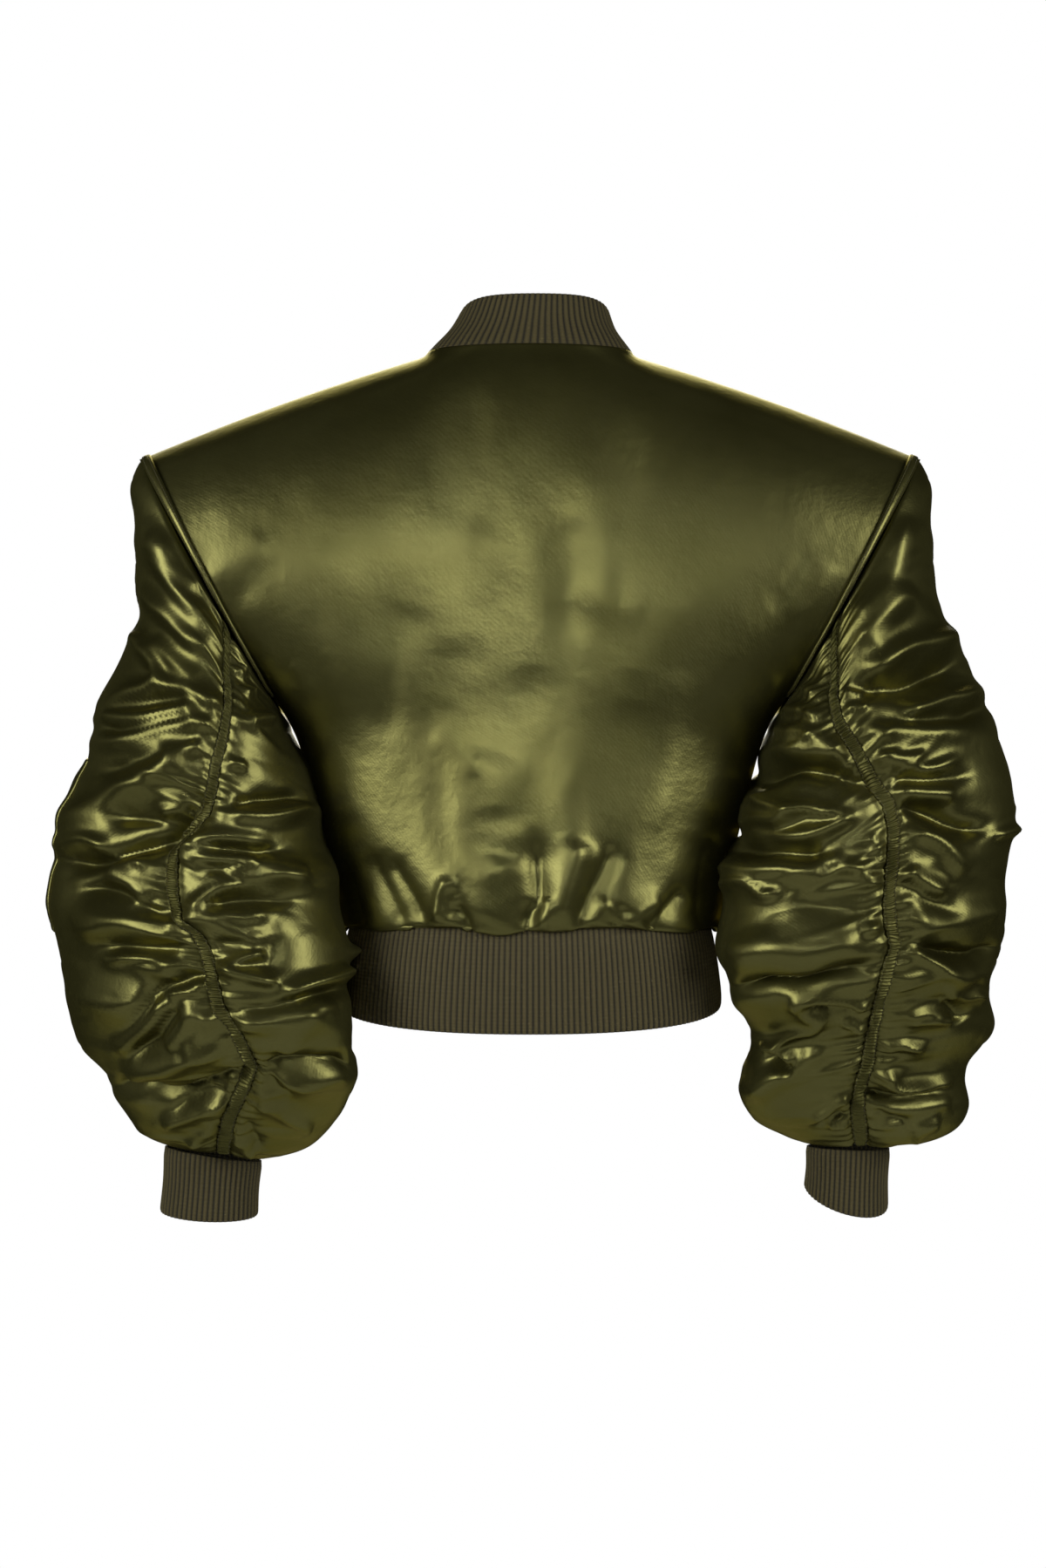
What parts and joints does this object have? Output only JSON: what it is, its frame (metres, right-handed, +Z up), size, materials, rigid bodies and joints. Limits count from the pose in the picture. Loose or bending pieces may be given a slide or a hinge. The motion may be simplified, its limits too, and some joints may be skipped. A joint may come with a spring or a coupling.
{
  "type": "bomber jacket",
  "caption": "Cropped padded bomber jacket with wide square shoulders, balloon sleeves gathered along a back seam, and knit rib collar, cuffs and waistband.",
  "frame": {"origin": "neck centre, level with the seam where the shoulders meet the collar: where a wearer's shoulders and neck hold the jacket up", "axes": "+Z up, -Y out of the front (the zip side), +X towards the wearer's left"},
  "size_m": [0.8885, 0.2862, 0.847],
  "materials": {
    "satin_shell": "olive nylon satin, padded, high sheen",
    "rib_knit": "olive brown rib knit, matte",
    "gather_tape": "olive satin tape, gathered and topstitched",
    "zip_cloth": "woven zip tape, matte",
    "zip_metal": "satin nickel"
  },
  "bodies": {
    "jacket": {"back": "satin_shell", "front_left": "satin_shell", "front_right": "satin_shell", "sleeve_outer_left": "satin_shell", "sleeve_outer_right": "satin_shell", "sleeve_inner_left": "satin_shell", "sleeve_inner_right": "satin_shell", "sleeve_pocket": "satin_shell", "armhole_band_left": "satin_shell", "armhole_band_right": "satin_shell", "sleeve_tape_left": "gather_tape", "sleeve_tape_right": "gather_tape", "collar": "rib_knit", "waistband": "rib_knit", "cuff_left": "rib_knit", "cuff_right": "rib_knit", "zip_tape_left": "zip_cloth", "zip_tape_right": "zip_cloth", "zip_slider": "zip_metal"},
    "pull_tab": {"zip_pull": "zip_metal"}
  },
  "joints": [
    {"name": "pull_tab_swing", "type": "hinge", "parent": "jacket", "child": "pull_tab", "pos_m": [0, -0.09967, -0.08891], "axis": [-1, 0, 0], "range_deg": [0, 140]}
  ]
}
